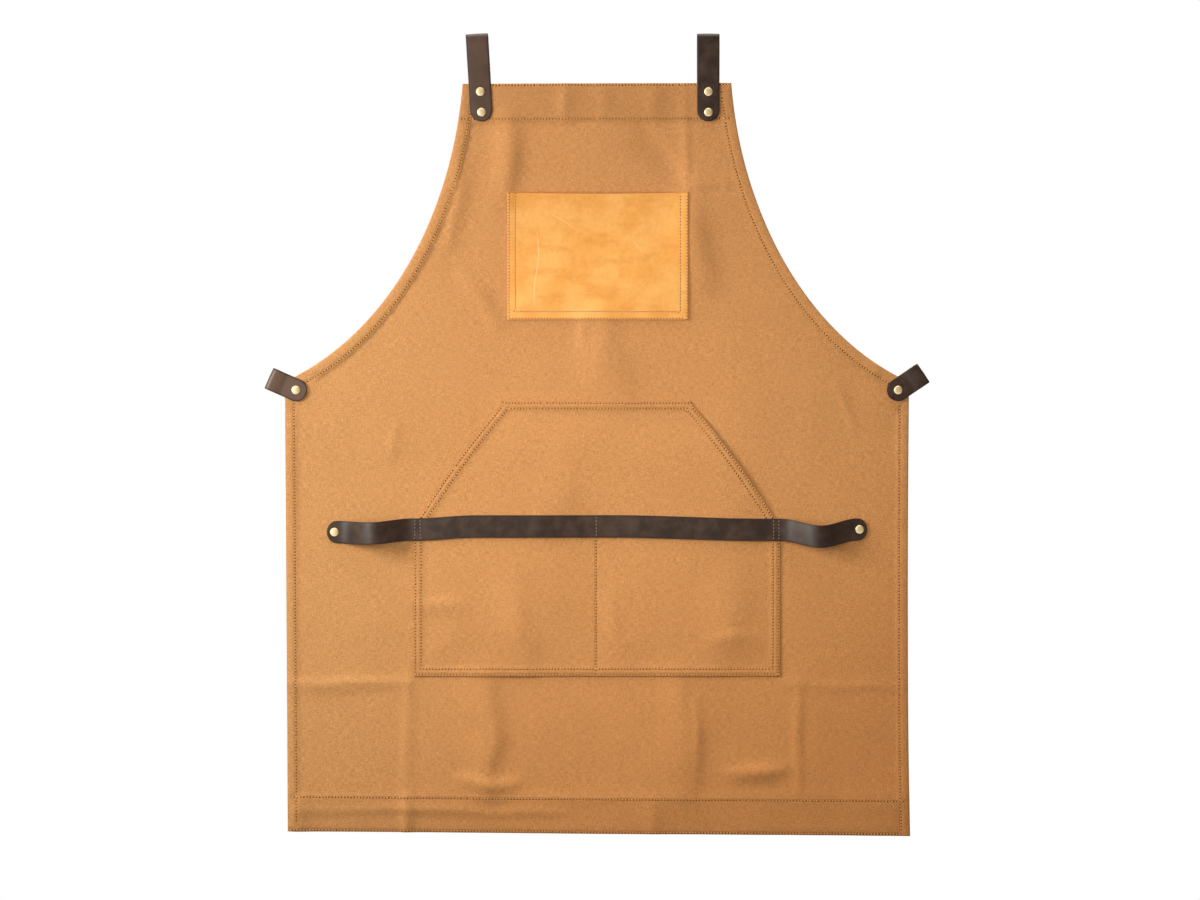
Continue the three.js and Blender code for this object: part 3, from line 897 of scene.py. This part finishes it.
def chestBack(x, z):
    return clothThick + chest["gap"] + clothRise(x, z) * 0.8 + 0.35 + chestLift(x, z)


def chestFront(x, z):
    return chestBack(x, z) + chest["thick"] - grooves(x, z, chestRows) * chest["groove"]


def chestEdge(x, z, edge):
    return {"edge": np.exp(-(edge / 1.1) ** 2)}


chestPocket = sheetPiece(
    "leather_chest_pocket", chestOutline(), 4.0, chestFront, chestBack, chestRows, tanLeather, 0.9, chestEdge,
)
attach(chestPocket, apronBody)
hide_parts("chest_pocket")
chestHoles = stitching("chest_pocket_stitching", chestRows, chestFront, creamThread)
needleHoleShades("chest_pocket_needle_holes", chestHoles, chestFront, leatherHoleShade)

handLow, handHigh = boxOf("hand_pocket")
hand = {
    "topHalf": 103.5, "half": handHigh[0], "strapDrop": 494.6, "bow": 4.0,
    "stand": 2.6, "ramp": 58, "rows": (2.0, 8.2), "gap": 0.25, "facing": 10.0, "fold": 0.9,
}
strapZ = topZ - hand["strapDrop"]


def handSide():  # the slanted mouth, from its top corner down, then the side
    t = np.linspace(0, 1, 30)
    x = hand["topHalf"] + (hand["half"] - hand["topHalf"]) * t + hand["bow"] * np.sin(np.pi * t)
    slant = np.c_[x, handHigh[2] + (strapZ - handHigh[2]) * t]
    return slant, np.array([(hand["half"], strapZ), (hand["half"], handLow[2])])


def handOutline():
    slant, side = handSide()
    right = np.vstack([slant, side[1:]])[::-1]
    left = (right * (-1, 1))[::-1]  # anticlockwise from the bottom right corner
    return np.vstack([right, left])


handEdge = handOutline()
handRing = np.vstack([handEdge, handEdge[:1]])


def insetRing(inset):  # the outline moved inwards, with square corners
    slant, side = handSide()
    slant = inward(slant[::-1], inset)[::-1]
    slant = slant[slant[:, 1] < handHigh[2] - inset]
    slant = slant[slant[:, 0] < hand["half"] - inset]
    bottom = handLow[2] + inset
    edge = hand["half"] - inset
    corner = (slant[0, 0] - 0.5, handHigh[2] - inset)
    right = np.vstack([[corner], slant, [(edge, slant[-1, 1] - 2), (edge, bottom)]])
    return np.vstack([right, (right * (-1, 1))[::-1], right[:1]])


divider = np.array([(-1.0, strapZ - 13), (-1.0, handLow[2] + 3)])
handRows = [insetRing(inset) for inset in hand["rows"]] + [divider]
handSeams = [
    np.array([(-hand["topHalf"], handHigh[2]), (hand["topHalf"], handHigh[2])]),
    np.array([
        (-hand["half"], strapZ), (-hand["half"], handLow[2]),
        (hand["half"], handLow[2]), (hand["half"], strapZ),
    ]),
    np.array([(-1, strapZ), (-1, handLow[2])]),
]
handLift = standOff(handSeams, hand["stand"], hand["ramp"])


def handBack(x, z):
    return clothThick + hand["gap"] + clothRise(x, z) + handLift(x, z) + foldRise(x, z, pocketCreases)


def handFront(x, z):
    folded = 1 - smooth(distanceTo(np.c_[x, z], handRing), hand["facing"] - 0.8, hand["facing"] + 0.8)
    return handBack(x, z) + clothThick + hand["fold"] * folded - grooves(x, z, handRows)


# painted shade beside the hand pocket's sewn grooves
def handShade(x, z, edge):
    near = np.min([distanceTo(np.c_[x, z], row) for row in handRows], axis=0)
    return {"worn": seamSet["grooveShade"] * np.exp(-(near / seamSet["wide"]) ** 2)}


handPocket = sheetPiece(
    "canvas_hand_pocket", handEdge, 4.5, handFront, handBack, handRows, canvas, 1.1, handShade,
)
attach(handPocket, apronBody)
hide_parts("hand_pocket")
handHoles = stitching("hand_pocket_stitching", handRows, handFront, canvasThread)
needleHoleShades("hand_pocket_needle_holes", handHoles, handFront)
stitching("pocket_back_stitching", chestRows + handRows, panelBack, canvasThread, side=-1)
print("pockets ready")


# leather strips
stripSet = {"width": 25.0, "round": 0.8, "crown": 0.30, "burnish": 1.3}


def crossSection(half):  # (across, out) points round the strip
    r = stripSet["round"]
    flatPart = np.linspace(-(half - r), half - r, 15)
    turn = np.linspace(0, np.pi / 2, 5)[1:-1]
    thick = leatherThick / 2
    section = [(a, thick) for a in flatPart]
    section += [(half - r + r * math.sin(t), thick - r + r * math.cos(t)) for t in turn]
    section += [(half, s) for s in np.linspace(thick - r, r - thick, 3)]
    section += [(half - r + r * math.cos(t), r - thick - r * math.sin(t)) for t in turn]
    section += [(a, -thick) for a in flatPart[::-1]]
    section += [(-half + r - r * math.sin(t), -thick + r - r * math.cos(t)) for t in turn]
    section += [(-half, s) for s in np.linspace(r - thick, thick - r, 3)]
    section += [(-half + r - r * math.cos(t), thick - r + r * math.sin(t)) for t in turn]
    return np.array(section)


def resample(path, step):
    path = np.asarray(path, float)
    total = np.concatenate([[0], np.cumsum(np.linalg.norm(np.diff(path, axis=0), axis=1))])
    count = int(total[-1] / step)
    at = np.linspace(0, total[-1], count + 1)
    return np.c_[np.interp(at, total, path[:, 0]), np.interp(at, total, path[:, 1])], at, total[-1]


def strip(name, path, place, endRadius, paintedSheen=0.0):
    # path: (depth, along) down the strip's middle; place turns (across, depth, along) into x, y, z;
    # the last argument: how much painted sheen lightens the dark hide, from 0 to 1
    half = stripSet["width"] / 2
    fine, at, total = resample(path, 1.2)
    near = endRadius * (1 - np.cos(np.linspace(0.06, np.pi / 2, 11)))
    between = at[(at > endRadius) & (at < total - endRadius)]
    stations = np.unique(np.concatenate([near, between, total - near]))
    spots = np.c_[np.interp(stations, at, fine[:, 0]), np.interp(stations, at, fine[:, 1])]
    ahead = np.gradient(spots, axis=0)
    ahead /= np.linalg.norm(ahead, axis=1)[:, None]
    section = crossSection(half)
    vertices, edge = [], []
    for k, s in enumerate(stations):
        left = min(s, total - s)
        share = 1.0 if left >= endRadius else math.sqrt(max(1e-4, 1 - ((endRadius - left) / endRadius) ** 2))
        slim = min(1.0, 0.35 + left / 0.9)
        reach = half * share
        across = np.sign(section[:, 0]) * np.maximum(np.abs(section[:, 0]) * share, 0)
        body = section[:, 1] * slim
        crown = stripSet["crown"] * (1 - (across / max(reach, 1e-6)) ** 2) * np.sign(section[:, 1])
        out = body + crown
        depth = spots[k, 0] + ahead[k, 1] * out
        run = spots[k, 1] - ahead[k, 0] * out
        vertices.append(place(across, depth, run))
        toEdge = np.minimum(reach - np.abs(across), left)
        edge.append(np.exp(-(toEdge / stripSet["burnish"]) ** 2))
    n = len(section)
    faces = []
    for k in range(len(stations) - 1):
        for i in range(n):
            a, b = k * n + i, k * n + (i + 1) % n
            faces.append((a, b, b + n, a + n))
    faces.append(tuple(reversed(range(n))))
    faces.append(tuple(range((len(stations) - 1) * n, len(stations) * n)))
    attributes = {"edge": np.concatenate(edge), "paintedSheen": np.full(n * len(stations), paintedSheen)}
    return meshFrom(name, np.vstack(vertices), faces, darkLeather, attributes)


def bezier(points, count):
    t = np.linspace(0, 1, count)[:, None]
    a, b, c, d = (np.array(p, float) for p in points)
    return (1 - t) ** 3 * a + 3 * (1 - t) ** 2 * t * b + 3 * (1 - t) * t * t * c + t ** 3 * d


loopSet = {"eye": 7.2, "flat": 2.4, "leg": 2.7}


def loopPath(start, edge, fold):  # up the front leg, over the fold and down the back leg
    half = (loopSet["eye"] + leatherThick) / 2
    turn = half - loopSet["flat"] / 2
    shoulder = fold - leatherThick / 2 - turn
    rise = shoulder - edge
    spread = bezier([(-loopSet["leg"], edge), (-loopSet["leg"], edge + rise * 0.35),
                     (-half, edge + rise * 0.25), (-half, shoulder)], 16)
    angle = np.linspace(0, np.pi / 2, 10)[1:]
    arc = np.c_[-loopSet["flat"] / 2 - turn * np.cos(angle), shoulder + turn * np.sin(angle)]
    front = np.vstack([[(-loopSet["leg"], start)], spread, arc])
    return np.vstack([front, (front * (-1, 1))[::-1]])


def turned(x, z, angle):  # places a strip built upright about (x, z), leaned by angle
    c, s = math.cos(angle), math.sin(angle)

    def place(across, depth, run):
        return np.c_[x + across * c + run * s, depth, z - across * s + run * c]
    return place


# the left shoulder loop gets painted sheen
shoulderSet = {
    "rise": 55.3, "reach": 42.7, "lean": {"left": -3.4, "right": 0.0}, "paintedSheen": {"left": 0.45, "right": 0.0},
}
for side in ("left", "right"):
    upper, lower = rivetSpots[f"shoulder_{side}_upper"], rivetSpots[f"shoulder_{side}_lower"]
    middle = (upper + lower) / 2
    below = topZ - middle[1]  # the rivets' middle, below the cloth's top edge
    path = loopPath(below - shoulderSet["reach"], below + 0.3, below + shoulderSet["rise"])
    place = turned(middle[0], middle[1], math.radians(shoulderSet["lean"][side]))
    paintedSheen = shoulderSet["paintedSheen"][side]
    loop = strip(f"leather_shoulder_loop_{side}", path, place, stripSet["width"] / 2, paintedSheen)
    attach(loop, apronBody)
    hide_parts(f"shoulder_loop_{side}")

# the left side loop gets painted sheen
sideSet = {
    "left": {"lift": 24, "fold": 33, "way": -1, "paintedSheen": 0.75},
    "right": {"lift": 34, "fold": 34.5, "way": 1, "paintedSheen": 0.0},
}
for side, loopShape in sideSet.items():
    spot = rivetSpots[f"side_{side}"]
    path = loopPath(-stripSet["width"] / 2, waistX - abs(spot[0]) + 0.3, loopShape["fold"])
    place = turned(spot[0], spot[1], math.radians(loopShape["way"] * (90 - loopShape["lift"])))
    loop = strip(f"leather_side_loop_{side}", path, place, stripSet["width"] / 2, loopShape["paintedSheen"])
    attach(loop, f"{side}_tie_loop")
    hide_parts(f"side_loop_{side}")
print("loops ready")


# the tool strap
strapSet = {
    "endReach": 8.3, "endRound": 1.35, "slack": 1.19, "inner": hand["half"] + 2, "besideRivet": 5.8,
    "depth": 2.7, "hop": 1.9, "columns": (-203.0, -197.0, -0.8, 197.0, 203.0), "columnHalf": 11.6,
    "sag": {
        -1: {"from": (135, 205), "edge": 3.6, "end": 6.4, "dip": 2.3},
        1: {"from": (20, 190), "edge": 3.9, "end": 3.4, "dip": 7.3},
    },
}
strapRivetX = rivetSpots["strap_right"][0]
strapOuter = strapRivetX - strapSet["besideRivet"]
loopSpan = strapOuter - strapSet["inner"]
loopStand = 2 * loopSpan / math.pi * math.sqrt(strapSet["slack"] - 1)


def strapDepth(x):
    x = np.asarray(x, float)
    t = np.clip((np.abs(x) - strapSet["inner"]) / loopSpan, 0, 1)
    outside = strapSet["depth"] + strapSet["hop"] * (1 - t) + loopStand * np.sin(np.pi * t) ** 2
    lift = np.max([handLift(x, np.full_like(x, strapZ + dz)) for dz in (-14, -7, 0, 7, 14)], axis=0)
    level = np.max([clothRise(x, np.full_like(x, strapZ + dz)) for dz in (-10, 0, 10)], axis=0)
    over = strapSet["depth"] + strapSet["hop"] + lift + level
    return np.where(np.abs(x) > strapSet["inner"], outside, over)


def strapDrop(x):  # how far the strap hangs below its straight line
    x = np.asarray(x, float)
    t = np.clip((np.abs(x) - hand["half"]) / (strapRivetX - hand["half"]), 0, 1)
    drop = np.zeros(len(x))
    for side, sag in strapSet["sag"].items():
        near = sag["edge"] * smooth(x * side, *sag["from"])
        loop = (sag["end"] - sag["edge"]) * smooth(t) + sag["dip"] * np.sin(np.pi * t) ** 2
        drop = np.where(x * side > 0, near + loop, drop)
    return drop


def strapPath():
    reach = strapRivetX + strapSet["endReach"]
    x = np.linspace(reach, -reach, 700)
    depth = strapDepth(x)
    kernel = np.hanning(13)
    padded = np.concatenate([np.full(6, depth[0]), depth, np.full(6, depth[-1])])
    depth = np.convolve(padded, kernel / kernel.sum(), "valid")
    return np.c_[-depth, x]


def strapPlace(across, depth, run):
    return np.c_[run, depth, strapZ - strapDrop(run) + across]


strap = strip("leather_tool_strap", strapPath(), strapPlace, strapSet["endReach"] * strapSet["endRound"])
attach(strap, apronBody)
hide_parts("tool_strap")


def strapTop(x, z):
    return strapDepth(x) + leatherThick / 2 + 0.1


strapColumns = []
for x in strapSet["columns"]:
    middle = strapZ - strapDrop(np.array([x]))[0]
    high, low = middle + strapSet["columnHalf"], middle - strapSet["columnHalf"]
    strapColumns.append(np.array([(x, high), (x, low)]))
strapHoles = stitching("tool_strap_stitching", strapColumns, strapTop, strapThread)
needleHoleShades("tool_strap_needle_holes", strapHoles, strapTop)
print("tool strap ready")


# rivets
rivetSet = {"radius": 4.8, "height": 1.75, "sides": 40, "proud": 0.12, "strapFoot": 0.1}


def domedCap(name, x, z, seat, way, body):  # way is -1 for a cap that faces the front, 1 for the back
    r, h = rivetSet["radius"], rivetSet["height"]
    profile = [(r * 0.80, -0.25), (r * 0.97, -0.2), (r, 0.15), (r, 0.42), (r * 0.965, 0.62)]
    for t in np.linspace(0.25, 1, 8):
        angle = t * math.pi / 2
        profile.append((r * 0.95 * math.cos(angle), 0.62 + (h - 0.62) * math.sin(angle) ** 0.8))
    profile = [(a, b) for a, b in profile if a > 0.01]
    sides = rivetSet["sides"]
    vertices, faces = [], []
    for a, b in profile:
        for k in range(sides):
            turn = 2 * math.pi * k / sides * -way
            vertices.append((x + a * math.cos(turn), seat + way * b, z + a * math.sin(turn)))
    for i in range(len(profile) - 1):
        for k in range(sides):
            p, q = i * sides + k, i * sides + (k + 1) % sides
            faces.append((p, q, q + sides, p + sides))
    vertices += [(x, seat - way * 0.25, z), (x, seat + way * h, z)]
    bottom, top = len(vertices) - 2, len(vertices) - 1
    last = (len(profile) - 1) * sides
    for k in range(sides):
        faces.append((bottom, (k + 1) % sides, k))
        faces.append((last + k, last + (k + 1) % sides, top))
    cap = meshFrom(name, vertices, faces, brass)
    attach(cap, body)
    return cap


for name, (x, z) in rivetSpots.items():
    front = -(loopSet["leg"] + leatherThick / 2 + rivetSet["proud"])
    back = rivetSet["strapFoot"] if name.startswith("strap") else -front
    cap = domedCap(f"rivet_front_{name}", x, z, front, -1, apronBody)
    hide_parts(f"rivet_cap_{name}")
    foot = domedCap(f"rivet_back_{name}", x, z, back, 1, apronBody)
    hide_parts(f"rivet_post_{name}")
print("rivets ready")


# floor
floorSet = {"drop": 500, "reach": 2600}


def makeFloor():
    f = Finish("pale_floor")
    spot = f.place()
    base = f.mix(f.noise(spot, 300, 3), (0.91, 0.91, 0.90), (0.95, 0.95, 0.94))
    f.close({"Base Color": base, "Roughness": 0.6})
    low, reach = panelLow[2] - floorSet["drop"], floorSet["reach"]
    corners = [(-reach, -reach, low), (reach, -reach, low), (reach, reach, low), (-reach, reach, low)]
    floor = meshFrom("floor", corners, [(0, 1, 2, 3)], f.material)
    floor.visible_diffuse = False  # the pale floor throws no light back on the cloth


makeFloor()


# areas of the cloth pieces
def polygonArea(outline):
    following = np.roll(outline, -1, 0)
    return sum((x0 * z1 - x1 * z0) / 2 for (x0, z0), (x1, z1) in zip(outline, following))


panelArea = polygonArea(panelOutline)
handArea = polygonArea(handEdge)
panelArea * metre ** 2
handArea * metre ** 2

print("apron ready")
